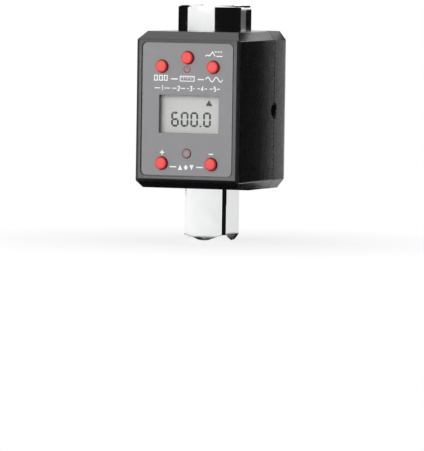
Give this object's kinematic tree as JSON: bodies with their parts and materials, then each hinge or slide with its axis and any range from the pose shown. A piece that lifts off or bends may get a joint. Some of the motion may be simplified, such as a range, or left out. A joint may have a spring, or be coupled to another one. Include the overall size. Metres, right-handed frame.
{
  "type": "digital torque adapter",
  "caption": "Square-drive torque shaft in a two-part housing with a recessed display, round keys, a data port and a battery bay behind a screwed door.",
  "frame": {"origin": "centre of the flat end of the male drive square, on the shaft's axis", "axes": "+Z along the shaft towards the socket end, -Y out of the face with the display, +X to the right as the face is read"},
  "size_m": [0.0466, 0.0674, 0.1015],
  "materials": {
    "chromed_steel": "bright chrome",
    "steel": "plain",
    "dark_screw": "blackened",
    "gauge_foil": "film",
    "black_rubber": "matte",
    "housing_plastic": "fine matte",
    "label_film": "satin film",
    "clear_pane": "clear",
    "display_glass": "grey",
    "black_plastic": "matte",
    "contact_rubber": "striped rubber",
    "board_green": "solder mask",
    "key_red": "satin",
    "switch_white": "plain",
    "lens_pink": "satin",
    "cell_sleeve": "sleeve",
    "wire_white": "insulation",
    "wire_red": "insulation"
  },
  "bodies": {
    "adapter": {"torque_shaft": "chromed_steel", "strain_gauges": "gauge_foil", "detent_spring": "steel", "upper_seal": "black_rubber", "lower_seal": "black_rubber", "retaining_fork": "steel", "fork_screws": "steel", "front_housing": "housing_plastic", "rear_housing": "housing_plastic", "housing_screws": "dark_screw", "face_label": "label_film", "display_window": "clear_pane", "display_cell": "display_glass", "display_frame": "black_plastic", "contact_strips": "contact_rubber", "main_board": "board_green", "board_screws": "steel", "key_switches": "black_plastic", "indicator_lens": "lens_pink", "indicator_lamp": "lens_pink", "processor": "black_plastic", "amplifier": "black_plastic", "buzzer": "black_plastic", "data_jack": "black_plastic", "batteries": "cell_sleeve", "battery_springs": "steel", "battery_plates": "steel", "gauge_wires": "wire_white", "power_wires": "wire_red", "port_wires": "black_plastic"},
    "memory_key": {"key_memory": "key_red", "plunger_memory": "switch_white"},
    "unit_key": {"key_unit": "key_red", "plunger_unit": "switch_white"},
    "peak_key": {"key_peak": "key_red", "plunger_peak": "switch_white"},
    "plus_key": {"key_plus": "key_red", "plunger_plus": "switch_white"},
    "minus_key": {"key_minus": "key_red", "plunger_minus": "switch_white"},
    "ball": {"detent_ball": "chromed_steel"},
    "door": {"battery_door": "housing_plastic", "door_screws": "dark_screw"}
  },
  "joints": [
    {"name": "memory_press", "type": "slide", "parent": "adapter", "child": "memory_key", "axis": [0, 1, 0], "range_m": [0, 0.0006], "stiffness_N_per_m": 400},
    {"name": "unit_press", "type": "slide", "parent": "adapter", "child": "unit_key", "axis": [0, 1, 0], "range_m": [0, 0.0006], "stiffness_N_per_m": 400},
    {"name": "peak_press", "type": "slide", "parent": "adapter", "child": "peak_key", "axis": [0, 1, 0], "range_m": [0, 0.0006], "stiffness_N_per_m": 400},
    {"name": "plus_press", "type": "slide", "parent": "adapter", "child": "plus_key", "axis": [0, 1, 0], "range_m": [0, 0.0006], "stiffness_N_per_m": 400},
    {"name": "minus_press", "type": "slide", "parent": "adapter", "child": "minus_key", "axis": [0, 1, 0], "range_m": [0, 0.0006], "stiffness_N_per_m": 400},
    {"name": "detent_ball_press", "type": "slide", "parent": "adapter", "child": "ball", "axis": [0, -1, 0], "range_m": [0, 0.0012], "stiffness_N_per_m": 1500, "deforming": ["detent_spring"]},
    {"name": "battery_door_lift", "type": "slide", "parent": "adapter", "child": "door", "axis": [0, 1, 0], "range_m": [0, 0.03]}
  ]
}
